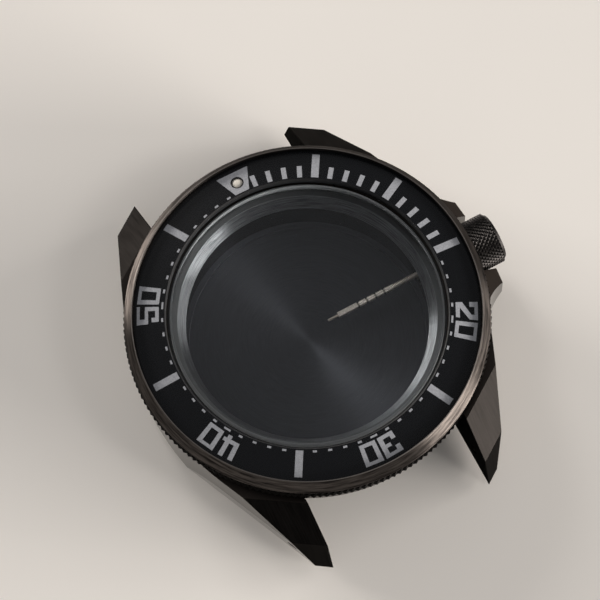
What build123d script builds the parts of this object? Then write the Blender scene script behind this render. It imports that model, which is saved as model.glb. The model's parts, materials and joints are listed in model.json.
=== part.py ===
from build123d import *
import os
from math import cos, pi, radians, sin, tan

# Empty case of a diver's wrist watch, in millimetres.
# The origin is the centre of the case back's rest face. +Z points out of the crystal,
# +Y to 12 o'clock and +X to the crown at 3 o'clock.

# Fits
running_clearance = 0.05
stem_clearance = 0.03
seat_clearance = 0.02
end_clearance = 0.06

# Crystal, its gasket and the neck round them
crystal_radius = 15.2
crystal_thickness = 2.5
crystal_bevel = 0.2
crystal_drop = 0.3
crystal_seal_width = 0.26
neck_wall = 0.95
neck_gap = 0.1
neck_bore_radius = crystal_radius + 2 * seat_clearance + crystal_seal_width
neck_radius = neck_bore_radius + neck_wall

# Chapter ring under the crystal
ring_inset = 0.1
ring_width = 1.6
ring_ledge = 1.2
ring_height = 1.7
ring_land = 0.7
ring_lip = 0.15
ring_radius = crystal_radius - ring_inset

# Movement cavity and case back
cavity_floor_margin = 0.15
back_boss_step = 1.3
back_boss_height = 1.7
back_flange_width = 2.2
back_flange_height = 1.3
back_edge_height = 0.6
back_edge_run = 1.8
back_recess_step = 0.55
back_plate = 2.25
back_notches = 6
back_notch_width = 2.4
back_notch_length = 1.6
back_notch_depth = 0.7
back_seal_width = 0.8
back_seal_depth = 0.5
cavity_radius = ring_radius - ring_ledge
back_boss_radius = cavity_radius + back_boss_step
back_radius = back_boss_radius + back_flange_width

# Barrel between the lugs
back_wall = 1.9
barrel_foot_inset = 1.45
barrel_wall_height = 3.2
barrel_radius = back_radius + back_wall

# Mid case: plan
side_proud = 0.15
case_side_radius = 29.2
flank_angle = 23.0
lug_gap = 20.0
plan_overrun = 4.0
case_half_width = barrel_radius + side_proud

# Mid case: heights and lug facets, whose normals lie at one bearing from +X
case_top_height = 9.35
lug_tip_height = 0.45
lug_crease_height = 5.9
flank_foot_inset = 0.75
facet_bearing = 56.2
facet_top_step = 1.43
facet_run = 3.68
end_facet_run = 1.05
arch_rise = 1.4
facet_top_reach = barrel_radius + facet_top_step

# Strap bars
bar_hole_radius = 0.6
bar_hole_step = 0.9
bar_hole_height = 3.6
bar_hole_reach = barrel_radius + bar_hole_step

# Insert, whose face falls outwards from the ring of minute dots
insert_rise = 3.75
insert_slope = 9.9
insert_gap = 0.4
insert_width = 3.75
insert_thickness = 0.9
insert_edge_break = 0.15
adhesive_thickness = 0.06
adhesive_inset = 0.2
dot_ring_inset = 0.3
dot_ring_height = case_top_height + insert_rise
insert_inner_radius = crystal_radius + insert_gap
dot_ring_radius = insert_inner_radius + dot_ring_inset
crystal_seat_height = dot_ring_height - crystal_drop - crystal_thickness

# Marks on the insert
mark_depth = 0.12
mark_margin = 0.16
minutes = 60
bar_minutes = 5
number_minutes = 10
first_number_minutes = 20
last_bar_minutes = 14
dot_size = 0.45
dash_length = 0.82
dash_height = 0.42
short_bar_length = 1.58
short_bar_width = 0.55
long_bar_length = 3.05
long_bar_width = 0.85
triangle_length = 2.84
triangle_inner_width = 1.58
triangle_outer_width = 3.84
pip_step = 1.64
pip_radius = 0.62
pip_cup_wall = 0.12
pip_depth = 0.6
pip_cup_floor = 0.12
pip_dome_rise = 0.18
bar_inner_radius = insert_inner_radius + mark_margin
pip_ring_radius = insert_inner_radius + pip_step

# Bezel ring
bezel_gap = 0.3
bezel_turn = -1.68
bezel_lip_proud = 0.55
bezel_lip_width = 0.1
bezel_frame_run = 0.85
bezel_frame_drop = 1.55
bezel_frame_edge = 0.1
bezel_bottom_height = case_top_height + bezel_gap
bezel_lip_inner_radius = insert_inner_radius + insert_width
bezel_frame_radius = bezel_lip_inner_radius + bezel_lip_width + bezel_frame_run

# Coin edge round the bezel
coin_flutes = 180
coin_proud = 0.11
coin_depth = 0.2
coin_rise = 0.45
coin_top_gap = 0.26
coin_core_inset = 0.12
bezel_foot_inset = 0.45
coin_radius = bezel_frame_radius + coin_proud
coin_bottom_height = bezel_bottom_height + coin_rise

# Click ratchet under the bezel and the spring that it rides on
clicks = 120
click_step = 1.5
ratchet_width = 1.5
ratchet_depth = 0.22
ratchet_share = 0.94
spring_width = 1.7
spring_sheet = 0.2
spring_groove_depth = 0.35
spring_side_gap = 0.1
pawls = 3
pawl_length = 3.2
pawl_width = 0.9
pawl_slot_gap = 0.12
click_radius = neck_radius + click_step

# Wire gasket that holds the bezel on the neck
bezel_seal_share = 0.62
bezel_seal_width = 0.6
bezel_seal_bite = 0.4
bezel_seal_reach = 0.25

# Crown, along +X from the middle of the case
stem_height = 5.6
crown_radius = 3.04
crown_gap = 0.25
crown_length = 4.45
crown_collar = 0.45
crown_end_bevel = 0.35
crown_end_inset = 0.42
crown_edge_break = 0.15
knurl_diamonds = 36
knurl_rows = 12
knurl_depth = 0.15
crown_bore_depth = 2.4
crown_seal_width = 0.7
crown_seal_height = 0.33
crown_seat_reach = barrel_radius
crown_start = crown_seat_reach + crown_gap
crown_end = crown_start + crown_length
crown_wall_start = crown_start + crown_bore_depth

# Crown guards
guard_length = 2.9
guard_gap = 0.51
guard_tip_width = 1.9
guard_tip_lean = 0.25
guard_root_step = 1.9
guard_root_width = 6.1
guard_hollow_radius = 8.5
guard_crease_step = 0.7
guard_facet_drop = 3.3
guard_foot_height = 1.9
guard_foot_rise = 1.5
guard_reach = crown_seat_reach + guard_length
guard_notch_half = crown_radius + guard_gap

# Tube that the crown screws down on
tube_thread_radius = 1.75
tube_press_radius = 1.25
tube_bore_radius = 0.95
tube_inset = 0.4
tube_seal_step = 0.9
tube_seal_width = 0.6
tube_seal_depth = 0.22
tube_outer_end = crown_wall_start - crown_seal_height - end_clearance
tube_seal_start = crown_seat_reach + tube_seal_step

# Hub in the crown, with the sprung post that the stem screws into
hub_wall = 0.27
hub_length = 1.95
hub_end_depth = 0.55
post_reach = 2.0
post_length = 5.0
post_thread_length = 3.0
washer_thickness = 0.15
washer_bore_radius = 0.22
spring_wire_width = 0.14
spring_coils = 5
hub_radius = tube_bore_radius - stem_clearance
post_radius = hub_radius - hub_wall - stem_clearance
hub_inner_end = crown_start - hub_length
hub_bore_end = crown_wall_start + hub_end_depth
post_inner_end = hub_inner_end - post_reach
post_outer_end = post_inner_end + post_length

# Winding stem
stem_pilot_radius = 0.15
stem_tip_reach = 2.6
stem_pilot_length = 1.25
stem_square = 0.54
stem_square_length = 2.45
stem_body_radius = 0.33
stem_body_length = 4.6
stem_groove_radius = 0.22
stem_groove_step = 1.1
stem_grooves = 4
stem_groove_width = 0.24
stem_thread_radius = 0.26


# Shared shapes

def turned(points):
    """A solid of revolution about Z from (radius, height) points."""
    outline = Polyline(*points, close=True)
    return revolve(Plane.XZ * make_face(outline), Axis.Z)


def ring(inner, outer, bottom, top):
    """A plain ring between two radii and two heights."""
    return turned([(inner, bottom), (outer, bottom), (outer, top), (inner, top)])


def disc(radius, bottom, top):
    """A plain disc between two heights."""
    return turned([(0, bottom), (radius, bottom), (radius, top), (0, top)])


def on_crown_axis(shape):
    """Lay a shape that was built along Z along +X, at the stem's height."""
    return Pos(0, 0, stem_height) * Rot(0, 90, 0) * shape


def bearing(minute):
    """The angle from +X of a minute on the bezel, read clockwise from 12 o'clock."""
    return 90 - 360 * minute / minutes


def insert_face_height(radius):
    """Height of the insert's face at a radius."""
    return dot_ring_height - (radius - dot_ring_radius) * tan(radians(insert_slope))


# Mid case

def case_span():
    """A length that passes every side of the case, for drills and cutters."""
    return max(case_half_width, guard_reach) + plan_overrun


def case_quarter():
    """One quarter of the case side with its lug, cut by the three lug facets."""
    side_centre = case_half_width - case_side_radius
    angle = radians(flank_angle)
    flank_start = (side_centre + case_side_radius * cos(angle), case_side_radius * sin(angle))
    arc_middle = (
        side_centre + case_side_radius * cos(angle / 2),
        case_side_radius * sin(angle / 2),
    )
    end_y = facet_top_reach + facet_run + plan_overrun
    flank_end = (flank_start[0] - (end_y - flank_start[1]) * tan(angle), end_y)
    inner_x = lug_gap / 2
    edges = [
        Line((inner_x, 0), (case_half_width, 0)),
        ThreePointArc((case_half_width, 0), arc_middle, flank_start),
        Line(flank_start, flank_end),
    ]
    if flank_end[0] > inner_x:
        edges.append(Line(flank_end, (inner_x, end_y)))
        edges.append(Line((inner_x, end_y), (inner_x, 0)))
    else:
        edges.append(Line(flank_end, (inner_x, 0)))
    slab = extrude(make_face(Curve() + edges), case_top_height)
    return slab & facet_wedge() - flank_foot(flank_start)


def flank_foot(start):
    """What a plane cuts away below the crease height where it leans in under one flank."""
    angle = radians(flank_angle)
    cut = Plane(
        origin=(start[0], start[1], lug_crease_height),
        x_dir=(cos(angle), sin(angle), 0),
        z_dir=(sin(angle), -cos(angle), 0),
    )
    outline = Polyline(
        (0, 0),
        (-flank_foot_inset, -lug_crease_height),
        (plan_overrun, -lug_crease_height),
        (plan_overrun, 0),
        close=True,
    )
    return extrude(cut * make_face(outline), case_span(), both=True)


def facet_wedge():
    """Everything inside the top flat, the sloping facet and the steep end facet of one lug."""
    crease = facet_top_reach + facet_run
    tip = crease + end_facet_run
    outline = Polyline(
        (-plan_overrun, lug_tip_height),
        (tip, lug_tip_height),
        (crease, lug_crease_height),
        (facet_top_reach, case_top_height),
        (-plan_overrun, case_top_height),
        close=True,
    )
    half_length = facet_top_reach + facet_run + plan_overrun
    wedge = extrude(Plane.XZ * make_face(outline), half_length, both=True)
    return Rot(0, 0, facet_bearing) * wedge


def lugs():
    """The four lugs with the case sides that join them."""
    quarter = case_quarter()
    right = quarter + quarter.mirror(Plane.XZ)
    return right, right.mirror(Plane.YZ)


def barrel():
    """The round middle of the case, with the neck that carries the crystal."""
    foot_radius = barrel_radius - barrel_foot_inset
    return turned([
        (0, back_flange_height),
        (foot_radius, back_flange_height),
        (barrel_radius, case_top_height - barrel_wall_height),
        (barrel_radius, case_top_height),
        (neck_radius, case_top_height),
        (neck_radius, neck_top_height()),
        (0, neck_top_height()),
    ])


def neck_top_height():
    """The neck stops just below the overhanging insert."""
    return insert_face_height(neck_radius) - insert_thickness - neck_gap


def crown_guard():
    """The guard on the 12 o'clock side of the crown: a horn with a facet above and below."""
    notch = guard_notch_half
    corner = (guard_reach - guard_tip_lean, notch + guard_tip_width)
    root = (crown_seat_reach - guard_root_step, notch + guard_root_width)
    inner_x = lug_gap / 2
    hollow = RadiusArc(corner, root, guard_hollow_radius)
    edges = [
        Line((inner_x, notch), (guard_reach, notch)),
        Line((guard_reach, notch), corner),
        hollow,
        Line(root, (inner_x, root[1])),
        Line((inner_x, root[1]), (inner_x, notch)),
    ]
    horn = extrude(make_face(Curve() + edges), case_top_height)
    crease = crown_seat_reach - guard_crease_step
    side = Polyline(
        (inner_x, guard_foot_height),
        (crease, guard_foot_height),
        (guard_reach, guard_foot_height + guard_foot_rise),
        (guard_reach, case_top_height - guard_facet_drop),
        (crease, case_top_height),
        (inner_x, case_top_height),
        close=True,
    )
    facets = extrude(Plane.XZ * make_face(side), -case_span())
    return horn & facets


def case_hollow():
    """What is bored out of the case from above and below."""
    ring_seat = crystal_seat_height - ring_height
    boss_top = back_flange_height + back_boss_height + cavity_floor_margin
    boss_bore = back_boss_radius + running_clearance
    ring_bore = ring_radius + seat_clearance
    top = neck_top_height()
    return turned([
        (0, 0),
        (back_radius + running_clearance, 0),
        (back_radius + running_clearance, back_flange_height),
        (boss_bore, back_flange_height),
        (boss_bore, boss_top),
        (cavity_radius, boss_top),
        (cavity_radius, ring_seat),
        (ring_bore, ring_seat),
        (ring_bore, crystal_seat_height),
        (neck_bore_radius, crystal_seat_height),
        (neck_bore_radius, top),
        (0, top),
    ])


def underside_arch():
    """The long hollow under the case, from lug tip to lug tip."""
    half_span = (facet_top_reach + facet_run + end_facet_run) * sin(radians(facet_bearing))
    half_span = half_span + lug_gap * cos(radians(facet_bearing)) / 2
    radius = (half_span ** 2 + arch_rise ** 2) / (2 * arch_rise)
    cylinder = Cylinder(radius, 2 * case_span(), rotation=(0, 90, 0))
    arch = Pos(0, 0, lug_tip_height + arch_rise - radius) * cylinder
    return arch - disc(barrel_radius - barrel_foot_inset, 0, case_top_height)


def spring_groove():
    """The shallow channel for the click spring in the case's top."""
    half = spring_width / 2 + spring_side_gap
    floor = case_top_height - spring_groove_depth
    return ring(click_radius - half, click_radius + half, floor, neck_top_height())


def neck_groove():
    """The groove round the neck for the bezel's gasket."""
    bottom = bezel_seal_height()
    return ring(neck_radius - bezel_seal_bite, barrel_radius, bottom, bottom + bezel_seal_width)


def bar_holes():
    """The drilled holes for the strap bars, through all four lugs."""
    drill = Cylinder(bar_hole_radius, 2 * case_span(), rotation=(0, 90, 0))
    upper = Pos(0, bar_hole_reach, bar_hole_height) * drill
    return [upper, upper.mirror(Plane.XZ)]


def crown_seat():
    """The flat that the crown closes on, and the hole for its tube."""
    depth = plan_overrun
    flat = Box(depth, 2 * guard_notch_half, 2 * case_top_height)
    hole = Cylinder(tube_press_radius, case_span(), align=(Align.CENTER, Align.CENTER, Align.MIN))
    return [Pos(crown_seat_reach + depth / 2, 0, 0) * flat, on_crown_axis(hole)]


def mid_case():
    right, left = lugs()
    guard = crown_guard()
    body = barrel() + right + left + guard + guard.mirror(Plane.XZ)
    body = body - case_hollow() - underside_arch() - spring_groove() - neck_groove()
    return body - bar_holes() - crown_seat()


# Case back

def case_back():
    recess = cavity_radius - back_recess_step
    plate = turned([
        (0, 0),
        (back_radius - back_edge_run, 0),
        (back_radius, back_edge_height),
        (back_radius, back_flange_height),
        (back_boss_radius, back_flange_height),
        (back_boss_radius, back_flange_height + back_boss_height),
        (recess, back_flange_height + back_boss_height),
        (recess, back_plate),
        (0, back_plate),
    ])
    notch = Box(2 * back_notch_length, back_notch_width, 2 * back_notch_depth)
    notches = PolarLocations(back_radius, back_notches) * notch
    return plate - back_seal(0) - list(notches)


def back_seal(clearance):
    """The square ring of the gasket, or of its groove, in the middle of the flange."""
    middle = (back_boss_radius + back_radius) / 2
    half = back_seal_width / 2 - clearance
    floor = back_flange_height - back_seal_depth
    return ring(middle - half, middle + half, floor, back_flange_height)


def case_back_gasket():
    return back_seal(seat_clearance)


# Crystal and chapter ring

def crystal():
    top = crystal_seat_height + crystal_thickness
    return turned([
        (0, crystal_seat_height),
        (crystal_radius, crystal_seat_height),
        (crystal_radius, top - crystal_bevel),
        (crystal_radius - crystal_bevel, top),
        (0, top),
    ])


def crystal_gasket():
    inner = crystal_radius + seat_clearance
    outer = neck_bore_radius - seat_clearance
    return ring(inner, outer, crystal_seat_height, neck_top_height())


def chapter_ring():
    floor = crystal_seat_height - ring_height
    throat = ring_radius - ring_width
    return turned([
        (throat, floor),
        (ring_radius, floor),
        (ring_radius, crystal_seat_height),
        (ring_radius - ring_land, crystal_seat_height),
        (throat, floor + ring_lip),
    ])


# Bezel

def set_round(shape):
    """Turn a bezel piece to where the photographed bezel was left."""
    return Rot(0, 0, bezel_turn) * shape


def seat_height(radius):
    """Height of the cone in the bezel ring that carries the insert."""
    return insert_face_height(radius) - insert_thickness - adhesive_thickness


def bezel_seal_height():
    """The gasket lies between the bezel's underside and the insert's seat."""
    room = seat_height(neck_radius) - bezel_bottom_height - bezel_seal_width
    return bezel_bottom_height + room * bezel_seal_share


def bezel_lip_height():
    return insert_face_height(bezel_lip_inner_radius) + bezel_lip_proud


def bezel_body():
    """The turned ring: bore, insert seat, lip, sloping frame and foot."""
    bore = neck_radius + running_clearance
    core = coin_radius - coin_depth - coin_core_inset
    lip = bezel_lip_height()
    frame_foot = lip - bezel_frame_drop
    return turned([
        (bore, bezel_bottom_height),
        (core - bezel_foot_inset, bezel_bottom_height),
        (core, coin_bottom_height),
        (core, frame_foot - bezel_frame_edge),
        (bezel_frame_radius, frame_foot - bezel_frame_edge),
        (bezel_frame_radius, frame_foot),
        (bezel_lip_inner_radius + bezel_lip_width, lip),
        (bezel_lip_inner_radius, lip),
        (bezel_lip_inner_radius, seat_height(bezel_lip_inner_radius)),
        (bore, seat_height(bore)),
    ])


def coin_edge():
    """The fluted band: a ring of V grooves, three to a click."""
    step = pi / coin_flutes
    points = []
    for index in range(2 * coin_flutes):
        radius = coin_radius if index % 2 else coin_radius - coin_depth
        points.append((radius * cos(index * step), radius * sin(index * step)))
    top = bezel_lip_height() - bezel_frame_drop - coin_top_gap
    band = extrude(make_face(Polyline(*points, close=True)), top - coin_bottom_height)
    band = Pos(0, 0, coin_bottom_height) * band
    inner = coin_radius - coin_depth - 2 * coin_core_inset
    return band - disc(inner, coin_bottom_height, top)


def ratchet_notches():
    """One saw-tooth notch for each click, cut up into the bezel's underside."""
    pitch = 2 * pi * (click_radius - ratchet_width / 2) / clicks
    run = pitch * ratchet_share
    tooth = Polyline((0, 0), (run, 0), (run, ratchet_depth), close=True)
    notch = extrude(Plane.YZ * make_face(tooth), ratchet_width / 2, both=True)
    notch = Pos(click_radius, 0, bezel_bottom_height) * notch
    return [Rot(0, 0, 360 * index / clicks) * notch for index in range(clicks)]


def bezel_groove():
    """The groove in the bore that snaps over the gasket."""
    outer = neck_radius + bezel_seal_reach + running_clearance
    bottom = bezel_seal_height() - running_clearance
    top = bezel_seal_height() + bezel_seal_width + running_clearance
    return ring(neck_radius, outer, bottom, top)


def bezel_ring():
    return set_round(bezel_body() + coin_edge() - bezel_groove() - ratchet_notches())


def bezel_gasket():
    inner = neck_radius - bezel_seal_bite
    outer = neck_radius + bezel_seal_reach
    return ring(inner, outer, bezel_seal_height(), bezel_seal_height() + bezel_seal_width)


def click_spring():
    """A flat ring with three pawls bent up from it, drawn as a tooth tip holds them."""
    floor = case_top_height - spring_groove_depth
    half = spring_width / 2
    body = ring(click_radius - half, click_radius + half, floor, floor + spring_sheet)
    tip_height = bezel_bottom_height - end_clearance - floor
    tongue = Polyline(
        (0, 0),
        (0, spring_sheet),
        (pawl_length, tip_height),
        (pawl_length, tip_height - spring_sheet),
        close=True,
    )
    pawl = extrude(Plane.YZ * make_face(tongue), pawl_width / 2, both=True)
    slot_width = pawl_width + 2 * pawl_slot_gap
    slot_length = pawl_length + pawl_slot_gap
    slot = Box(slot_width, slot_length, 2 * spring_sheet, align=(Align.CENTER, Align.MIN, Align.CENTER))
    places = [Rot(0, 0, 360 * index / pawls) * Pos(click_radius, 0, floor) for index in range(pawls)]
    slots = [place * Pos(0, pawl_slot_gap, spring_sheet / 2) * slot for place in places]
    return body - slots + [place * pawl for place in places]


# Insert and its marks

def insert_body():
    """The conical insert before its marks are cut."""
    outer = bezel_lip_inner_radius - running_clearance
    inner = insert_inner_radius
    breaking = inner + insert_edge_break
    return turned([
        (inner, insert_face_height(inner) - insert_thickness),
        (outer, insert_face_height(outer) - insert_thickness),
        (outer, insert_face_height(outer)),
        (breaking, insert_face_height(breaking)),
        (inner, insert_face_height(inner) - insert_edge_break),
    ])


def mark_space():
    """Everything above the conical floor that the marks are cut down to."""
    outer = bezel_lip_inner_radius + mark_depth
    inner = insert_inner_radius - mark_depth
    return turned([
        (inner, insert_face_height(inner) - mark_depth),
        (outer, insert_face_height(outer) - mark_depth),
        (outer, dot_ring_height + insert_thickness),
        (inner, dot_ring_height + insert_thickness),
    ])


def mark_block(minute, inner, length, width):
    """An upright block over one radial mark."""
    block = Box(length, width, 2 * dot_ring_height, align=(Align.MIN, Align.CENTER, Align.CENTER))
    return Rot(0, 0, bearing(minute)) * Pos(inner, 0, 0) * block


def triangle_block():
    """The mark at zero, wide outwards, with room for the pip's cup."""
    half_in = triangle_inner_width / 2
    half_out = triangle_outer_width / 2
    outline = Polyline(
        (-half_in, bar_inner_radius),
        (half_in, bar_inner_radius),
        (half_out, bar_inner_radius + triangle_length),
        (-half_out, bar_inner_radius + triangle_length),
        close=True,
    )
    return extrude(make_face(outline), dot_ring_height) + pip_hole()


def pip_hole():
    """The round pocket for the pip's cup."""
    top = insert_face_height(pip_ring_radius)
    tilt = Pos(0, pip_ring_radius, top) * Rot(-insert_slope, 0, 0)
    return tilt * Cylinder(pip_radius + pip_cup_wall, 2 * pip_depth)


def mark_blocks():
    """Every bar, dot and dash of the minute scale."""
    blocks = []
    dot_inner = dot_ring_radius - dot_size / 2
    for minute in range(1, minutes):
        if minute >= first_number_minutes and minute % number_minutes == 0:
            dash_inner = dot_ring_radius - dash_height / 2
            blocks.append(mark_block(minute, dash_inner, dash_height, dash_length))
        elif minute % bar_minutes == 0:
            blocks.append(mark_block(minute, bar_inner_radius, long_bar_length, long_bar_width))
        elif minute <= last_bar_minutes:
            blocks.append(mark_block(minute, bar_inner_radius, short_bar_length, short_bar_width))
        else:
            blocks.append(mark_block(minute, dot_inner, dot_size, dot_size))
    return blocks


def mark_pockets():
    """The cutters for the marks, open above the insert's face."""
    space = mark_space()
    return [space & block for block in mark_blocks() + [triangle_block()]]


def insert_marks():
    """The paint that fills the cut marks, flush with the insert's face."""
    blank = insert_body() - pip_hole()
    fills = [solid for pocket in mark_pockets() for solid in (blank & pocket).solids()]
    return Compound(children=[set_round(fill) for fill in fills])


def bezel_insert():
    return set_round(insert_body() - mark_pockets() - pip_hole())


def insert_adhesive():
    inner = neck_radius + running_clearance + adhesive_inset
    outer = bezel_lip_inner_radius - adhesive_inset
    return set_round(turned([
        (inner, seat_height(inner)),
        (outer, seat_height(outer)),
        (outer, seat_height(outer) + adhesive_thickness),
        (inner, seat_height(inner) + adhesive_thickness),
    ]))


def on_pip(shape):
    """Place a shape at the pip, square to the insert's face."""
    top = insert_face_height(pip_ring_radius)
    return set_round(Pos(0, pip_ring_radius, top) * Rot(-insert_slope, 0, 0) * shape)


def pip_cup():
    floor = -pip_depth
    outer = pip_radius + pip_cup_wall
    return on_pip(turned([
        (0, floor),
        (outer, floor),
        (outer, 0),
        (pip_radius, 0),
        (pip_radius, floor + pip_cup_floor),
        (0, floor + pip_cup_floor),
    ]))


def lume_pip():
    """The round pellet in the cup, its top a shallow dome level with the face."""
    dome_radius = (pip_radius ** 2 + pip_dome_rise ** 2) / (2 * pip_dome_rise)
    pellet = disc(pip_radius, pip_cup_floor - pip_depth, pip_dome_rise)
    return on_pip(pellet & Pos(0, 0, -dome_radius) * Sphere(dome_radius))


# Crown

def knurl():
    """A barrel of crossed V grooves: diamonds whose corners lie at the groove floor."""
    start = crown_start + crown_collar
    row = (crown_end - crown_end_bevel - start) / knurl_rows
    columns = 2 * knurl_diamonds

    def vertex(column, level):
        radius = crown_radius if (column + level) % 2 == 0 else crown_radius - knurl_depth
        angle = 2 * pi * column / columns
        return (radius * cos(angle), radius * sin(angle), start + level * row)

    faces = []
    for level in range(knurl_rows + 1):
        for column in range(level % 2, columns + level % 2, 2):
            peak = vertex(column, level)
            left, right = vertex(column - 1, level), vertex(column + 1, level)
            if level < knurl_rows:
                above = vertex(column, level + 1)
                faces.append((peak, right, above))
                faces.append((peak, above, left))
            if level > 0:
                below = vertex(column, level - 1)
                faces.append((peak, left, below))
                faces.append((peak, below, right))
    for level in (0, knurl_rows):
        faces.append([vertex(column, level) for column in range(columns)])
    shell = Shell([Face(Wire.make_polygon(face)) for face in faces])
    return Solid(shell)


def crown_core():
    """The turned blank of the crown, with its end bevel and collar."""
    radius = crown_radius - knurl_depth - knurl_depth / 2
    bevel_start = crown_end - crown_end_bevel
    return turned([
        (0, crown_start),
        (radius - crown_edge_break, crown_start),
        (radius, crown_start + crown_edge_break),
        (radius, bevel_start),
        (crown_radius - crown_end_inset, crown_end),
        (0, crown_end),
    ])


def crown_bore():
    """The room round the tube and the hub."""
    return ring(hub_radius, tube_thread_radius + stem_clearance, crown_start, crown_wall_start)


def crown_hub():
    """The pipe that reaches down the tube and holds the sprung post."""
    return disc(hub_radius, hub_inner_end, crown_wall_start)


def crown_head():
    post_room = disc(hub_radius - hub_wall, hub_inner_end, hub_bore_end)
    head = crown_core() + knurl() - crown_bore() + crown_hub() - post_room
    return on_crown_axis(head)


def crown_head_gasket():
    inner = tube_bore_radius + seat_clearance
    top = crown_wall_start
    return on_crown_axis(ring(inner, inner + crown_seal_width, top - crown_seal_height, top))


def crown_tube():
    inner_end = cavity_radius + tube_inset
    body = turned([
        (tube_bore_radius, inner_end),
        (tube_press_radius, inner_end),
        (tube_press_radius, crown_seat_reach),
        (tube_thread_radius, crown_seat_reach),
        (tube_thread_radius, tube_outer_end),
        (tube_bore_radius, tube_outer_end),
    ])
    seal_end = tube_seal_start + tube_seal_width
    groove = ring(0, tube_bore_radius + tube_seal_depth, tube_seal_start, seal_end)
    return on_crown_axis(body - groove)


def tube_gasket():
    outer = tube_bore_radius + tube_seal_depth
    return on_crown_axis(ring(tube_bore_radius, outer, tube_seal_start, tube_seal_start + tube_seal_width))


def crown_post():
    post = disc(post_radius, post_inner_end, post_outer_end)
    thread = disc(stem_thread_radius, post_inner_end, post_inner_end + post_thread_length)
    return on_crown_axis(post - thread)


def crown_thrust_washer():
    top = post_outer_end + washer_thickness
    return on_crown_axis(ring(washer_bore_radius, post_radius, post_outer_end, top))


def crown_spring():
    """The small flat-wire spring between the washer and the crown's end wall."""
    half = spring_wire_width / 2
    start = post_outer_end + washer_thickness + half + end_clearance
    length = hub_bore_end - end_clearance - half - start
    path = Helix(length / spring_coils, length, post_radius - half - seat_clearance)
    section = Plane(path @ 0, z_dir=path % 0) * Rectangle(spring_wire_width, spring_wire_width)
    return on_crown_axis(Pos(0, 0, start) * sweep(section, path, is_frenet=True))


def winding_stem():
    """Pilot, square, grooved body and threaded end, turned from one rod."""
    square_start = stem_tip_reach + stem_pilot_length
    body_start = square_start + stem_square_length
    body_end = body_start + stem_body_length
    thread_end = post_inner_end + post_thread_length
    pilot = disc(stem_pilot_radius, stem_tip_reach, square_start)
    square = Pos(0, 0, square_start + stem_square_length / 2) * Box(stem_square, stem_square, stem_square_length)
    body = disc(stem_body_radius, body_start, body_end)
    for number in range(stem_grooves):
        start = body_start + number * stem_groove_step
        body = body - ring(stem_groove_radius, stem_body_radius, start, start + stem_groove_width)
    thread = disc(stem_thread_radius, body_end, thread_end)
    return on_crown_axis(pilot + square + body + thread)


# Export: one STEP file for each piece

pieces = {
    "mid_case": mid_case,
    "case_back": case_back,
    "case_back_gasket": case_back_gasket,
    "crystal": crystal,
    "crystal_gasket": crystal_gasket,
    "chapter_ring": chapter_ring,
    "bezel_ring": bezel_ring,
    "bezel_gasket": bezel_gasket,
    "click_spring": click_spring,
    "bezel_insert": bezel_insert,
    "insert_adhesive": insert_adhesive,
    "insert_marks": insert_marks,
    "pip_cup": pip_cup,
    "lume_pip": lume_pip,
    "crown_head": crown_head,
    "crown_head_gasket": crown_head_gasket,
    "crown_tube": crown_tube,
    "tube_gasket": tube_gasket,
    "crown_post": crown_post,
    "crown_thrust_washer": crown_thrust_washer,
    "crown_spring": crown_spring,
    "winding_stem": winding_stem,
}

os.makedirs("parts", exist_ok=True)
for name, make in pieces.items():
    export_step(make(), f"parts/{name}.step")
    print("written", name)
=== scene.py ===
import json
import math

import bpy
from mathutils import Matrix, Vector


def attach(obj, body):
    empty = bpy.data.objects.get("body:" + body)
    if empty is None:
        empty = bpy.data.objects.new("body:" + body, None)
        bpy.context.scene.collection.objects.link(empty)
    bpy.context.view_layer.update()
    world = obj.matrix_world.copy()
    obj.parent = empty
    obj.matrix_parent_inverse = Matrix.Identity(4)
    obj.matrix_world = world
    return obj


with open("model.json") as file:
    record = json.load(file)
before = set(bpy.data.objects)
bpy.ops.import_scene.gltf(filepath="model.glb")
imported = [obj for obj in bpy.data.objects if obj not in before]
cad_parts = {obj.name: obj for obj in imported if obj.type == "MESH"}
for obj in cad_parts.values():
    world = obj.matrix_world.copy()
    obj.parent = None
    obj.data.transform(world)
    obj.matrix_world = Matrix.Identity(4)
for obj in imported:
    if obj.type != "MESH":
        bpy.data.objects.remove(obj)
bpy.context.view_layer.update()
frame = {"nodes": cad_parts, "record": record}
print("frame loaded:", len(frame["nodes"]), "CAD nodes")

mm = 0.001
seamGap = 0.002                 # mm
grainSpan = (0.3, 0.7)          # the part of a noise's range that a ramp stretches over
grooveSpan = (0.36, 0.64)       # narrower for the grooves of brushed metal, for more contrast
nodes = frame["nodes"]


# Helpers

def hexColour(code):
    # sRGB hex to the linear values that Blender works in
    channels = [int(code[i:i + 2], 16) / 255 for i in (1, 3, 5)]
    linear = [c / 12.92 if c <= 0.04045 else ((c + 0.055) / 1.055) ** 2.4 for c in channels]
    return (*linear, 1.0)


def addNode(tree, kind, links=None, **settings):
    # one node: settings are its own properties, links are values or sockets for its inputs
    node = tree.nodes.new(kind)
    for name, value in settings.items():
        setattr(node, name, value)
    for key, value in (links or {}).items():
        if isinstance(value, bpy.types.NodeSocket):
            tree.links.new(value, node.inputs[key])
        else:
            node.inputs[key].default_value = value
    return node


def startMaterial(name):
    material = bpy.data.materials.new(name)
    material.use_nodes = True
    material.node_tree.nodes.clear()
    return material, material.node_tree


def setRamp(ramp, stops):
    # stops are (position, linear colour) from dark to light
    elements = ramp.color_ramp.elements
    while len(elements) < len(stops):
        elements.new(1.0)
    for element, (position, colour) in zip(elements, stops):
        element.position = position
        element.color = colour


def finishMaterial(tree, links):
    shader = addNode(tree, "ShaderNodeBsdfPrincipled", links)
    addNode(tree, "ShaderNodeOutputMaterial", {"Surface": shader.outputs["BSDF"]})


def makeActive(piece):
    bpy.ops.object.select_all(action="DESELECT")
    piece.select_set(True)
    bpy.context.view_layer.objects.active = piece


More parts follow.
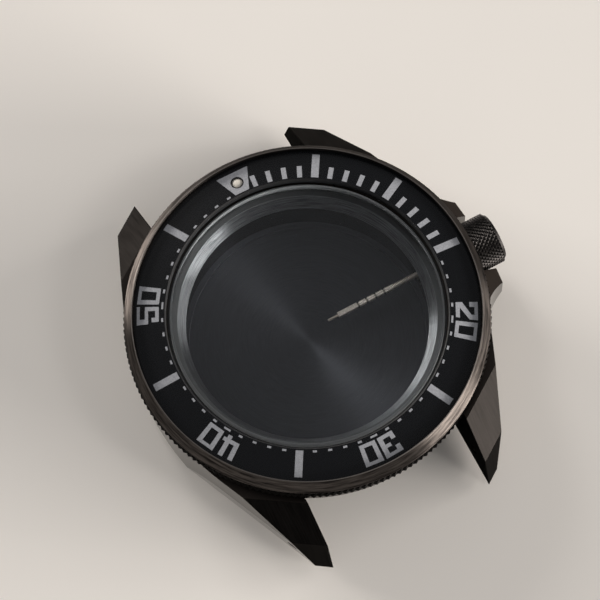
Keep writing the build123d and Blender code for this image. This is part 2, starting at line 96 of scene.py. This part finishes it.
def closeSeams(piece):
    # filled and screwed shapes are merged along their seams, then turned right side out
    makeActive(piece)
    bpy.ops.object.mode_set(mode="EDIT")
    bpy.ops.mesh.select_all(action="SELECT")
    bpy.ops.mesh.remove_doubles(threshold=seamGap * mm)
    bpy.ops.mesh.normals_make_consistent(inside=False)
    bpy.ops.object.mode_set(mode="OBJECT")


# Camera at the photograph's angle

cameraLook = {
    "place": (-64.465, -127.109, 436.393),      # mm
    "right": (0.87750, -0.47942, -0.01220),
    "down": (-0.45740, -0.82900, -0.32180),
    "forward": (0.14416, 0.28796, -0.94673),
    "lens": 243.113, "sensor": 36, "clip": (0.01, 20),
}


def addCamera():
    data = bpy.data.cameras.new("photoCamera")
    data.sensor_width = cameraLook["sensor"]
    data.lens = cameraLook["lens"]
    data.clip_start, data.clip_end = cameraLook["clip"]
    camera = bpy.data.objects.new("photoCamera", data)
    bpy.context.scene.collection.objects.link(camera)
    right, down, ahead = (Vector(cameraLook[k]) for k in ("right", "down", "forward"))
    turn = Matrix((right, -down, -ahead)).transposed()
    camera.matrix_world = Matrix.Translation(Vector(cameraLook["place"]) * mm) @ turn.to_4x4()
    bpy.context.scene.camera = camera


addCamera()
print("camera placed")


# Plain studio: pale floor, three long soft lamps low round the case, two small ones higher up

studio = {
    "floorColour": "#f0ede8", "floorFleck": 0.97, "floorGrain": 90.0,     # fleck: darkest share
    "floorRoughness": 0.85, "floorSize": 5.0,
    "worldColour": "#9a9a9c", "worldLevel": 0.5,
    "distance": 1.2,        # metres from the case to each lamp
    # name: bearing from +X and elevation in degrees, width and height in metres, watts, colour
    "lamps": {
        "lampCrownSide": (312, 9, 0.68, 0.24, 22.0, "#fff8f1"),
        "lampFarSide": (116, 9, 0.68, 0.24, 22.0, "#fff8f1"),
        "lampRight": (345, 16, 0.60, 0.28, 7.0, "#fff8f2"),
        "lampHighFar": (92, 31, 0.26, 0.26, 2.4, "#fffaf6"),
        "lampHighNear": (304, 50, 0.20, 0.20, 1.1, "#fffaf6"),
    },
}


def addStudio():
    bpy.ops.mesh.primitive_plane_add(size=studio["floorSize"], location=(0, 0, 0))
    floor = bpy.context.object
    floor.name = "floor"
    material, tree = startMaterial("matt painted floor")
    grain = addNode(tree, "ShaderNodeTexNoise", {"Scale": studio["floorGrain"], "Detail": 3.0})
    ramp = addNode(tree, "ShaderNodeValToRGB", {"Fac": grain.outputs["Fac"]})
    tone = hexColour(studio["floorColour"])
    fleck = [c * studio["floorFleck"] for c in tone[:3]] + [1]
    setRamp(ramp, [(grainSpan[0], fleck), (grainSpan[1], tone)])
    finishMaterial(tree, {
        "Base Color": ramp.outputs["Color"], "Roughness": studio["floorRoughness"]})
    floor.data.materials.append(material)

    world = bpy.data.worlds.new("studioWorld")
    bpy.context.scene.world = world
    world.use_nodes = True
    tree = world.node_tree
    tree.nodes.clear()
    around = addNode(tree, "ShaderNodeBackground", {
        "Color": hexColour(studio["worldColour"]), "Strength": studio["worldLevel"]})
    addNode(tree, "ShaderNodeOutputWorld", {"Surface": around.outputs["Background"]})

    for name, (bearing, elevation, width, height, power, colour) in studio["lamps"].items():
        lamp = bpy.data.lights.new(name, "AREA")
        lamp.shape = "RECTANGLE"
        lamp.size = width
        lamp.size_y = height
        lamp.energy = power
        lamp.color = hexColour(colour)[:3]
        holder = bpy.data.objects.new(name, lamp)
        bpy.context.scene.collection.objects.link(holder)
        way = Vector((math.cos(math.radians(elevation)), 0, math.sin(math.radians(elevation))))
        way.rotate(Matrix.Rotation(math.radians(bearing), 3, "Z"))
        holder.location = way * studio["distance"]
        holder.rotation_euler = way.to_track_quat("Z", "Y").to_euler()


addStudio()
bpy.context.scene.view_settings.view_transform = "Standard"
print("floor and lamps placed")


# Metals turned or brushed round an axis

crownAxis = {"height": 5.6}     # mm above the table
zAxis = ((0, 0, 1), (0, 0, 0))
stemAxis = ((1, 0, 0), (0, 0, crownAxis["height"] * mm))
cloudRoughness = 0.02       # how far handling marks raise or lower a metal's roughness


def turnedMetal(name, look):
    # fine grooves run round look["axis"], so a highlight spreads across them into a fan;
    # grain and clouds are sizes in mm, strokes is how often the grooves change on their way round
    material, tree = startMaterial(name)
    axis, centre = look["axis"]
    place = addNode(tree, "ShaderNodeTexCoord").outputs["Object"]
    offset = addNode(tree, "ShaderNodeVectorMath", {0: place, 1: centre}, operation="SUBTRACT")
    around = addNode(tree, "ShaderNodeVectorMath", {0: axis, 1: offset.outputs[0]},
                     operation="CROSS_PRODUCT")
    radius = addNode(tree, "ShaderNodeVectorMath", {0: around.outputs[0]}, operation="LENGTH")
    along = addNode(tree, "ShaderNodeVectorMath", {0: offset.outputs[0], 1: axis},
                    operation="DOT_PRODUCT")
    circle = addNode(tree, "ShaderNodeVectorMath", {0: around.outputs[0]}, operation="NORMALIZE")
    spot = addNode(tree, "ShaderNodeVectorMath", {0: circle.outputs[0], "Scale": look["strokes"]},
                   operation="SCALE")
    reach = addNode(tree, "ShaderNodeMath", {
        0: radius.outputs["Value"], 1: along.outputs["Value"]}, operation="ADD")
    track = addNode(tree, "ShaderNodeMath", {
        0: reach.outputs[0], 1: 1 / (look["grain"] * mm)}, operation="MULTIPLY")
    grooves = addNode(tree, "ShaderNodeTexNoise", {
        "Vector": spot.outputs[0], "W": track.outputs[0], "Scale": 1.0,
        "Detail": 3.0, "Roughness": 0.6}, noise_dimensions="4D")
    clouds = addNode(tree, "ShaderNodeTexNoise", {
        "Vector": place, "Scale": 1 / (look["clouds"] * mm), "Detail": 2.0})
    colour = addNode(tree, "ShaderNodeValToRGB", {"Fac": grooves.outputs["Fac"]})
    setRamp(colour, [
        (grooveSpan[0], hexColour(look["dark"])), (grooveSpan[1], hexColour(look["light"]))])
    rough = addNode(tree, "ShaderNodeMapRange", {
        "Value": grooves.outputs["Fac"],
        "From Min": grooveSpan[0], "From Max": grooveSpan[1],
        "To Min": look["roughness"][0], "To Max": look["roughness"][1]})
    cloudy = addNode(tree, "ShaderNodeMapRange", {
        "Value": clouds.outputs["Fac"], "From Min": grainSpan[0], "From Max": grainSpan[1],
        "To Min": -cloudRoughness, "To Max": cloudRoughness})
    total = addNode(tree, "ShaderNodeMath", {
        0: rough.outputs["Result"], 1: cloudy.outputs["Result"]}, operation="ADD")
    tone, finish, metal = colour.outputs["Color"], total.outputs[0], 1.0
    for measure, start, end, shade, matt, bare in look.get("bands", []):
        # a band with a finish of its own, by radius or by height along the axis (mm);
        # bare is its Metallic value
        reading = {"radius": radius, "height": along}[measure].outputs["Value"]
        inside = addNode(tree, "ShaderNodeMath", {
            0: reading, 1: (start + end) / 2 * mm, 2: (end - start) / 2 * mm},
            operation="COMPARE").outputs[0]
        tone = addNode(tree, "ShaderNodeMix", {
            "Factor": inside, 6: tone, 7: hexColour(shade)}, data_type="RGBA").outputs[2]
        finish = addNode(tree, "ShaderNodeMix", {
            0: inside, 2: finish, 3: matt}, data_type="FLOAT").outputs[0]
        metal = addNode(tree, "ShaderNodeMix", {
            0: inside, 2: metal, 3: bare}, data_type="FLOAT").outputs[0]
    bump = addNode(tree, "ShaderNodeBump", {
        "Strength": 1.0, "Distance": look["depth"] * mm, "Height": grooves.outputs["Fac"]})
    brushing = addNode(tree, "ShaderNodeVectorTransform", {0: around.outputs[0]},
                       vector_type="VECTOR", convert_from="OBJECT", convert_to="WORLD")
    facing = addNode(tree, "ShaderNodeNewGeometry").outputs["Normal"]
    across = addNode(tree, "ShaderNodeVectorMath", {0: facing, 1: brushing.outputs[0]},
                     operation="CROSS_PRODUCT")
    finishMaterial(tree, {
        "Base Color": tone, "Metallic": metal, "Roughness": finish,
        "Specular Tint": hexColour(look.get("edgeTint", "#ffffff")),
        "Anisotropic": look["anisotropy"], "Tangent": across.outputs[0],
        "Normal": bump.outputs["Normal"]})
    return material


stemGroove = {"width": 0.24, "starts": (6.3, 7.4, 8.5, 9.6)}      # mm along the stem

# edgeTint is how much of a mirror's glare is left at a glancing angle: a dark coating has less.
# Grooves of real brushing are 0.02 to 0.05 mm wide; they are drawn 0.1 mm and more to show.
turnedLooks = {
    # PVD coated stainless steel, brushed on a lathe: dark, with a bright fan towards the lamps
    "bezel_steel": ("brushed PVD coated steel", {
        "axis": zAxis, "dark": "#211f1e", "light": "#67615d", "roughness": (0.33, 0.39),
        "grain": 0.12, "strokes": 5, "depth": 0.002, "clouds": 6, "anisotropy": 0.98,
        "edgeTint": "#bcbcbc",
        # painted highlight: a thin paler band on the rim beside the insert
        "bands": [("radius", 19.36, 19.47, "#6e6a67", 0.5, 0.6),    # rim beside the insert
                  # painted shade: below 11.4 mm, on the coin edge and underside, the steel is
                  # painted darker
                  ("height", 0.0, 11.4, "#1b1a19", 0.4, 1.0)]}),    # coin edge and underside
    # the same steel, face turned inside the case back: a soft two-armed streak
    "back_steel": ("face turned PVD coated steel", {
        "axis": zAxis, "dark": "#4a4a4e", "light": "#525256", "roughness": (0.46, 0.50),
        "grain": 0.10, "strokes": 4, "depth": 0.0003, "clouds": 8, "anisotropy": 0.90}),
    # gunmetal plated brass ring, brushed round
    "ring_steel": ("brushed gunmetal plated brass", {
        "axis": zAxis, "dark": "#474748", "light": "#8c8c8e", "roughness": (0.34, 0.42),
        "grain": 0.11, "strokes": 5, "depth": 0.002, "clouds": 5, "anisotropy": 0.92,
        "bands": [("radius", 14.38, 16.0, "#7f7f80", 0.55, 0.4)]}),    # bead blasted land
    # dark turned cup round the pip
    "pip_steel": ("turned blackened steel", {
        "axis": zAxis, "dark": "#2a2a2b", "light": "#3c3c3e", "roughness": (0.3, 0.4),
        "grain": 0.08, "strokes": 6, "depth": 0.002, "clouds": 4, "anisotropy": 0.3}),
    # bright spring sheet, cold rolled
    "spring_steel": ("cold rolled spring steel", {
        "axis": zAxis, "dark": "#a8a39b", "light": "#c2bdb5", "roughness": (0.22, 0.32),
        "grain": 0.10, "strokes": 5, "depth": 0.002, "clouds": 4, "anisotropy": 0.4}),
    # knurled crown in coated steel, turned round the stem
    "crown_steel": ("knurled PVD coated steel", {
        "axis": stemAxis, "dark": "#252424", "light": "#3a3837", "roughness": (0.42, 0.52),
        "grain": 0.08, "strokes": 4, "depth": 0.003, "clouds": 3, "anisotropy": 0.4}),
    # carbon steel stem and stainless tube, turned bright and left bare
    "stem_steel": ("turned carbon steel", {
        "axis": stemAxis, "dark": "#a89c90", "light": "#f4ebe2", "roughness": (0.46, 0.58),
        "grain": 0.08, "strokes": 3, "depth": 0.003, "clouds": 2, "anisotropy": 0.2,
        "bands": [("height", 2.5, 3.85, "#a0968c", 0.55, 1.0)]      # pilot
        + [("height", x, x + stemGroove["width"], "#8b8279", 0.6, 1.0)      # grooves, darker: painted shade in the recesses
           for x in stemGroove["starts"]]}),
}


# Case side: PVD coated steel, tops and lug ends brushed from 12 to 6, upright walls polished
# like a mirror; faces leaning to neither end are painted paler as painted light, and the walls
# between the lugs are blasted matt and painted near black as painted shade

caseLook = {
    "dark": "#121110", "light": "#201e1d", "roughness": (0.34, 0.42), "edgeTint": "#bcbcbc",
    "grain": 0.14, "stroke": 4.0, "depth": 0.003, "anisotropy": 0.85,     # mm
    "brushing": (0, 1, 0.15),                       # the way the strokes run
    "steepest": (0.14, 0.17),                       # upward lean: polished below, brushed above
    "polished": "#4b4743", "polishedRoughness": 0.07, "polishedTint": "#ffffff",
    "paintedLightLean": (0.3, 0.2), "paintedLightTone": "#524b46",    # case top and guards lean to neither end: painted paler, a painted light
    "gapHalf": 9.95, "gapBand": 0.06,               # mm from the middle to the walls between lugs
    # painted shade: the walls between the lugs get a near-black tone, and are made matt
    "betweenLugsPaintedShade": "#141312", "blastedRoughness": 0.95,
}


def brushedCase():
    material, tree = startMaterial("brushed and polished PVD coated steel")
    place = addNode(tree, "ShaderNodeTexCoord").outputs["Object"]
    fine, long = 1 / (caseLook["grain"] * mm), 1 / (caseLook["stroke"] * mm)
    stretch = addNode(tree, "ShaderNodeMapping", {"Vector": place, "Scale": (fine, long, long)})
    strokes = addNode(tree, "ShaderNodeTexNoise", {
        "Vector": stretch.outputs[0], "Scale": 1.0, "Detail": 3.0, "Roughness": 0.6})
    facing = addNode(tree, "ShaderNodeNewGeometry").outputs["Normal"]
    lean = addNode(tree, "ShaderNodeVectorTransform", {0: facing},
                   vector_type="NORMAL", convert_from="WORLD", convert_to="OBJECT")
    upright = addNode(tree, "ShaderNodeSeparateXYZ", {0: lean.outputs[0]})
    level = addNode(tree, "ShaderNodeMath", {0: upright.outputs["Z"]}, operation="ABSOLUTE")
    brushed = addNode(tree, "ShaderNodeMapRange", {
        "Value": level.outputs[0],
        "From Min": caseLook["steepest"][0], "From Max": caseLook["steepest"][1]})
    colour = addNode(tree, "ShaderNodeValToRGB", {"Fac": strokes.outputs["Fac"]})
    setRamp(colour, [
        (grainSpan[0], hexColour(caseLook["dark"])), (grainSpan[1], hexColour(caseLook["light"]))])
    # painted light: brushed faces leaning to neither end get the paler tone
    sideways = addNode(tree, "ShaderNodeMath", {0: upright.outputs["Y"]}, operation="ABSOLUTE")
    top = addNode(tree, "ShaderNodeMapRange", {
        "Value": sideways.outputs[0],
        "From Min": caseLook["paintedLightLean"][0], "From Max": caseLook["paintedLightLean"][1]})
    brushedWithPaintedLight = addNode(tree, "ShaderNodeMix", {
        "Factor": top.outputs["Result"], 6: colour.outputs["Color"],
        7: hexColour(caseLook["paintedLightTone"])}, data_type="RGBA")
    outerTone = addNode(tree, "ShaderNodeMix", {
        "Factor": brushed.outputs["Result"], 6: hexColour(caseLook["polished"]),
        7: brushedWithPaintedLight.outputs[2]}, data_type="RGBA")
    rough = addNode(tree, "ShaderNodeMapRange", {
        "Value": strokes.outputs["Fac"], "From Min": grainSpan[0], "From Max": grainSpan[1],
        "To Min": caseLook["roughness"][0], "To Max": caseLook["roughness"][1]})
    outerFinish = addNode(tree, "ShaderNodeMix", {
        0: brushed.outputs["Result"], 2: caseLook["polishedRoughness"],
        3: rough.outputs["Result"]}, data_type="FLOAT")
    # painted shade: the walls between the lugs are picked out by their distance from the middle
    sides = addNode(tree, "ShaderNodeSeparateXYZ", {0: place})
    apart = addNode(tree, "ShaderNodeMath", {0: sides.outputs["X"]}, operation="ABSOLUTE")
    between = addNode(tree, "ShaderNodeMath", {
        0: apart.outputs[0], 1: caseLook["gapHalf"] * mm, 2: caseLook["gapBand"] * mm},
        operation="COMPARE")
    tone = addNode(tree, "ShaderNodeMix", {
        "Factor": between.outputs[0], 6: outerTone.outputs[2],
        7: hexColour(caseLook["betweenLugsPaintedShade"])}, data_type="RGBA")
    finish = addNode(tree, "ShaderNodeMix", {
        0: between.outputs[0], 2: outerFinish.outputs[0],
        3: caseLook["blastedRoughness"]}, data_type="FLOAT")
    matt = addNode(tree, "ShaderNodeMath", {
        0: brushed.outputs["Result"], 1: between.outputs[0]}, operation="MAXIMUM")
    edge = addNode(tree, "ShaderNodeMix", {
        "Factor": matt.outputs[0], 6: hexColour(caseLook["polishedTint"]),
        7: hexColour(caseLook["edgeTint"])}, data_type="RGBA")
    bump = addNode(tree, "ShaderNodeBump", {
        "Strength": brushed.outputs["Result"], "Distance": caseLook["depth"] * mm,
        "Height": strokes.outputs["Fac"]})
    brushing = addNode(tree, "ShaderNodeVectorTransform", {0: caseLook["brushing"]},
                       vector_type="VECTOR", convert_from="OBJECT", convert_to="WORLD")
    across = addNode(tree, "ShaderNodeVectorMath", {0: facing, 1: brushing.outputs[0]},
                     operation="CROSS_PRODUCT")
    finishMaterial(tree, {
        "Base Color": tone.outputs[2], "Metallic": 1.0, "Roughness": finish.outputs[0],
        "Specular Tint": edge.outputs[2], "Anisotropic": caseLook["anisotropy"],
        "Tangent": across.outputs[0], "Normal": bump.outputs["Normal"]})
    return material


# Finishes with a fine grain and no direction

grainLooks = {
    # zirconia ceramic, fired and satin lapped: deep black with a soft wide sheen
    "insert_ceramic": ("satin lapped zirconia ceramic", {
        "dark": "#08090c", "light": "#0e1013", "roughness": (0.24, 0.30), "grain": 0.12,
        "depth": 0.0006, "ior": 1.42, "edges": 0.75, "lapped": (0.85, 0.95)}),
    # grey filling paint, wiped into the marks: chalky grains
    "mark_paint": ("grey filling enamel", {
        "dark": "#84878d", "light": "#a7aab0", "roughness": (0.6, 0.75), "grain": 0.16,
        "depth": 0.004, "ior": 1.5, "wiped": (15.76, "#0b0c0f")}),
    # strontium aluminate pigment in clear resin: off-white, slightly grainy
    "pip_lume": ("cast luminous pigment resin", {
        "dark": "#d2cdc2", "light": "#e6e2d8", "roughness": (0.35, 0.5), "grain": 0.14,
        "depth": 0.002, "ior": 1.5}),
    # moulded nitrile rubber, dusty black
    "seal_rubber": ("moulded nitrile rubber", {
        "dark": "#131313", "light": "#1c1c1c", "roughness": (0.5, 0.62), "grain": 0.10,
        "depth": 0.002, "ior": 1.5}),
    # turned black nylon, a slight waxy gloss
    "seal_nylon": ("turned black nylon", {
        "dark": "#0b0b0c", "light": "#121213", "roughness": (0.32, 0.42), "grain": 0.10,
        "depth": 0.001, "ior": 1.53}),
    # acrylic adhesive film on a paper liner
    "adhesive": ("acrylic adhesive film", {
        "dark": "#b5ac97", "light": "#c6bea9", "roughness": (0.45, 0.6), "grain": 0.20,
        "depth": 0.002, "ior": 1.48}),
}


def grainedSolid(name, look):
    material, tree = startMaterial(name)
    place = addNode(tree, "ShaderNodeTexCoord").outputs["Object"]
    grain = addNode(tree, "ShaderNodeTexNoise", {
        "Vector": place, "Scale": 1 / (look["grain"] * mm), "Detail": 4.0, "Roughness": 0.6})
    colour = addNode(tree, "ShaderNodeValToRGB", {"Fac": grain.outputs["Fac"]})
    setRamp(colour, [
        (grainSpan[0], hexColour(look["dark"])), (grainSpan[1], hexColour(look["light"]))])
    rough = addNode(tree, "ShaderNodeMapRange", {
        "Value": grain.outputs["Fac"], "From Min": grainSpan[0], "From Max": grainSpan[1],
        "To Min": look["roughness"][0], "To Max": look["roughness"][1]})
    tone, finish = colour.outputs["Color"], rough.outputs["Result"]
    if "wiped" in look:
        # inside this radius (mm), on the edge break, the paint is wiped down to the ceramic
        start, bare = look["wiped"]
        flat = addNode(tree, "ShaderNodeVectorMath", {0: place, 1: (1, 1, 0)},
                       operation="MULTIPLY")
        radius = addNode(tree, "ShaderNodeVectorMath", {0: flat.outputs[0]}, operation="LENGTH")
        painted = addNode(tree, "ShaderNodeMath", {
            0: radius.outputs["Value"], 1: start * mm}, operation="GREATER_THAN")
        tone = addNode(tree, "ShaderNodeMix", {
            "Factor": painted.outputs[0], 6: hexColour(bare), 7: tone},
            data_type="RGBA").outputs[2]
    if "edges" in look:
        # faces that point up this much are lapped, the edges stay as rough as they were ground
        facing = addNode(tree, "ShaderNodeNewGeometry").outputs["Normal"]
        upright = addNode(tree, "ShaderNodeSeparateXYZ", {0: facing})
        level = addNode(tree, "ShaderNodeMapRange", {
            "Value": upright.outputs["Z"],
            "From Min": look["lapped"][0], "From Max": look["lapped"][1]})
        finish = addNode(tree, "ShaderNodeMix", {
            0: level.outputs["Result"], 2: look["edges"], 3: finish},
            data_type="FLOAT").outputs[0]
    bump = addNode(tree, "ShaderNodeBump", {
        "Strength": 1.0, "Distance": look["depth"] * mm, "Height": grain.outputs["Fac"]})
    finishMaterial(tree, {
        "Base Color": tone, "Roughness": finish,
        "IOR": look["ior"], "Normal": bump.outputs["Normal"]})
    return material


# Crystal: flat mineral glass, faces polished clear, bevel and edge ground to a grey haze

glassLook = {
    "tint": "#f4f8fa", "ground": "#8b8f92", "ior": 1.52, "haze": 0.01,
    "smears": 120.0, "groundRadius": 14.98,     # smears to the metre, radius in mm
    "groundRoughness": 0.45, "groundClear": 0.45,
}


def crystalGlass():
    material, tree = startMaterial("polished mineral glass, ground edge")
    place = addNode(tree, "ShaderNodeTexCoord").outputs["Object"]
    flat = addNode(tree, "ShaderNodeVectorMath", {0: place, 1: (1, 1, 0)}, operation="MULTIPLY")
    radius = addNode(tree, "ShaderNodeVectorMath", {0: flat.outputs[0]}, operation="LENGTH")
    ground = addNode(tree, "ShaderNodeMath", {
        0: radius.outputs["Value"], 1: glassLook["groundRadius"] * mm}, operation="GREATER_THAN")
    haze = addNode(tree, "ShaderNodeTexNoise", {
        "Vector": place, "Scale": glassLook["smears"], "Detail": 2.0})
    film = addNode(tree, "ShaderNodeMapRange", {
        "Value": haze.outputs["Fac"], "To Min": 0.0, "To Max": glassLook["haze"]})
    rough = addNode(tree, "ShaderNodeMix", {
        0: ground.outputs[0], 2: film.outputs["Result"],
        3: glassLook["groundRoughness"]}, data_type="FLOAT")
    clear = addNode(tree, "ShaderNodeMix", {
        0: ground.outputs[0], 2: 1.0, 3: glassLook["groundClear"]}, data_type="FLOAT")
    tone = addNode(tree, "ShaderNodeMix", {
        "Factor": ground.outputs[0], 6: hexColour(glassLook["tint"]),
        7: hexColour(glassLook["ground"])}, data_type="RGBA")
    glass = addNode(tree, "ShaderNodeBsdfPrincipled", {
        "Base Color": tone.outputs[2], "Roughness": rough.outputs[0],
        "IOR": glassLook["ior"], "Transmission Weight": clear.outputs[0]})
    # light goes straight through to the inside, as clear glass throws hardly any shadow
    letThrough = addNode(tree, "ShaderNodeBsdfTransparent", {
        "Color": hexColour(glassLook["tint"])})
    path = addNode(tree, "ShaderNodeLightPath")
    both = addNode(tree, "ShaderNodeMixShader", {
        0: path.outputs["Is Shadow Ray"], 1: glass.outputs[0], 2: letThrough.outputs[0]})
    addNode(tree, "ShaderNodeOutputMaterial", {"Surface": both.outputs[0]})
    return material


def dressNodes():
    finishes = {slot: turnedMetal(name, look) for slot, (name, look) in turnedLooks.items()}
    finishes.update({slot: grainedSolid(name, look) for slot, (name, look) in grainLooks.items()})
    finishes["case_steel"] = brushedCase()
    finishes["crystal_glass"] = crystalGlass()
    for part in frame["record"]["subparts"]:
        node = nodes[part["node"]]
        node.data.materials.clear()
        node.data.materials.append(finishes[part["material_slot"]])
    return finishes


finishes = dressNodes()
print("materials:", len(finishes))


# Numbers of the insert, squared and spread like a fan, tops outwards

numberLook = {
    "minutes": (20, 30, 40, 50),
    "turn": -1.68,              # degrees that the bezel stands off its zero
    "foot": 16.4, "height": 2.45, "width": 2.0, "gap": 0.3,     # mm
    "faceRadius": 15.9, "faceHeight": 13.1, "faceSlope": 9.9,   # the insert's face, mm and degrees
    "middle": 17.6, "proud": 0.02, "thickness": 0.08,           # mm; widths are true at the middle
}

# outlines in shares of a digit's width and height; a second list is a hole
digitOutlines = {
    "0": [[(0, 0), (1, 0), (1, 1), (0, 1)],
          [(0.25, 0.16), (0.25, 0.84), (0.75, 0.84), (0.75, 0.16)]],
    "2": [[(0, 0), (0.93, 0), (0.93, 0.18), (0.33, 0.18), (1, 0.62), (1, 1), (0, 1),
           (0, 0.62), (0.28, 0.62), (0.28, 0.84), (0.72, 0.84), (0.72, 0.70), (0, 0.29)]],
    "3": [[(0, 0), (1, 0), (1, 1), (0, 1), (0, 0.65), (0.27, 0.65), (0.27, 0.84),
           (0.72, 0.84), (0.72, 0.58), (0.42, 0.58), (0.42, 0.42), (0.72, 0.42),
           (0.72, 0.16), (0.27, 0.16), (0.27, 0.34), (0, 0.34)]],
    "4": [[(0.56, 0), (0.82, 0), (0.82, 0.17), (1, 0.17), (1, 0.34), (0.82, 0.34), (0.82, 1),
           (0.56, 1), (0.56, 0.34), (0.26, 0.34), (0.26, 1), (0, 1), (0, 0.17), (0.56, 0.17)]],
    "5": [[(0.08, 0), (1, 0), (1, 0.63), (0.29, 0.63), (0.29, 0.86), (1, 0.86), (1, 1), (0, 1),
           (0, 0.48), (0.76, 0.48), (0.76, 0.155), (0.35, 0.155), (0.35, 0.32), (0.08, 0.32)]],
}


def insertPoint(bearing, across, out, lift):
    # across is mm clockwise from the bearing, out the radius, lift mm above the insert's face
    angle = math.radians(bearing) - across / numberLook["middle"]
    slope = math.tan(math.radians(numberLook["faceSlope"]))
    height = numberLook["faceHeight"] - (out - numberLook["faceRadius"]) * slope + lift
    return Vector((out * math.cos(angle), out * math.sin(angle), height)) * mm


def makeNumber(minute):
    name = "number%d" % minute
    curve = bpy.data.curves.new(name, "CURVE")
    curve.dimensions = "2D"
    curve.fill_mode = "BOTH"
    curve.extrude = numberLook["thickness"] / 2
    wide = numberLook["width"] * 2 + numberLook["gap"]
    for place, digit in enumerate(str(minute)):
        start = place * (numberLook["width"] + numberLook["gap"]) - wide / 2
        for outline in digitOutlines[digit]:
            spline = curve.splines.new("POLY")
            spline.points.add(len(outline) - 1)
            spline.use_cyclic_u = True
            for point, (x, y) in zip(spline.points, outline):
                point.co = (start + x * numberLook["width"], y * numberLook["height"], 0, 1)
    piece = bpy.data.objects.new(name, curve)
    bpy.context.scene.collection.objects.link(piece)
    makeActive(piece)
    bpy.ops.object.convert(target="MESH")
    piece = bpy.context.object
    bearing = 90 - 6 * minute + numberLook["turn"]
    for vertex in piece.data.vertices:
        x, y, z = vertex.co
        lift = z + numberLook["proud"] - numberLook["thickness"] / 2
        vertex.co = insertPoint(bearing, x, numberLook["foot"] + y, lift)
    closeSeams(piece)
    piece.data.materials.clear()
    piece.data.materials.append(finishes["mark_paint"])
    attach(piece, "bezel")
    return piece


numbers = [makeNumber(minute) for minute in numberLook["minutes"]]
print("numbers made:", len(numbers))


# Thread of the stem: a ridge with a narrow flat crest wound round it, its foot sunk in the rod

stemThread = {
    "start": 10.95, "end": 15.5, "radius": 0.26, "crest": 0.05, "sunk": 0.03, "pitch": 0.2,  # mm
    "footShare": 0.42, "crestShare": 0.08,      # half widths as shares of the pitch
    "steps": 24, "smoothAngle": 35,             # steps a turn, degrees
}


def makeStemThread():
    length = stemThread["end"] - stemThread["start"]
    turns = length / stemThread["pitch"]
    bpy.ops.mesh.primitive_circle_add(vertices=4)
    ridge = bpy.context.object
    ridge.name = "stemThread"
    foot = stemThread["radius"] - stemThread["sunk"]
    top = stemThread["radius"] + stemThread["crest"]
    half = stemThread["pitch"] * stemThread["footShare"]
    flat = stemThread["pitch"] * stemThread["crestShare"]
    shape = [(foot, -half), (top, -flat), (top, flat), (foot, half)]
    for vertex, (out, up) in zip(ridge.data.vertices, shape):
        vertex.co = Vector((out, 0, up)) * mm
    makeActive(ridge)
    winding = ridge.modifiers.new("winding", "SCREW")
    winding.angle = math.tau * turns
    winding.screw_offset = length * mm
    winding.steps = winding.render_steps = int(stemThread["steps"] * turns)
    bpy.ops.object.modifier_apply(modifier="winding")
    bpy.ops.object.mode_set(mode="EDIT")
    bpy.ops.mesh.select_all(action="DESELECT")
    bpy.ops.mesh.select_mode(type="EDGE")
    bpy.ops.mesh.select_non_manifold()
    bpy.ops.mesh.edge_face_add()
    bpy.ops.object.mode_set(mode="OBJECT")
    closeSeams(ridge)
    # wound along Z, then laid along +X at the stem's height
    ridge.matrix_world = (
        Matrix.Translation((stemThread["start"] * mm, 0, crownAxis["height"] * mm))
        @ Matrix.Rotation(math.radians(90), 4, "Y")
    )
    bpy.ops.object.transform_apply(location=True, rotation=True, scale=True)
    bpy.ops.object.shade_smooth_by_angle(angle=math.radians(stemThread["smoothAngle"]))
    ridge.data.materials.append(finishes["stem_steel"])
    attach(ridge, "stem")


makeStemThread()
print("thread wound")
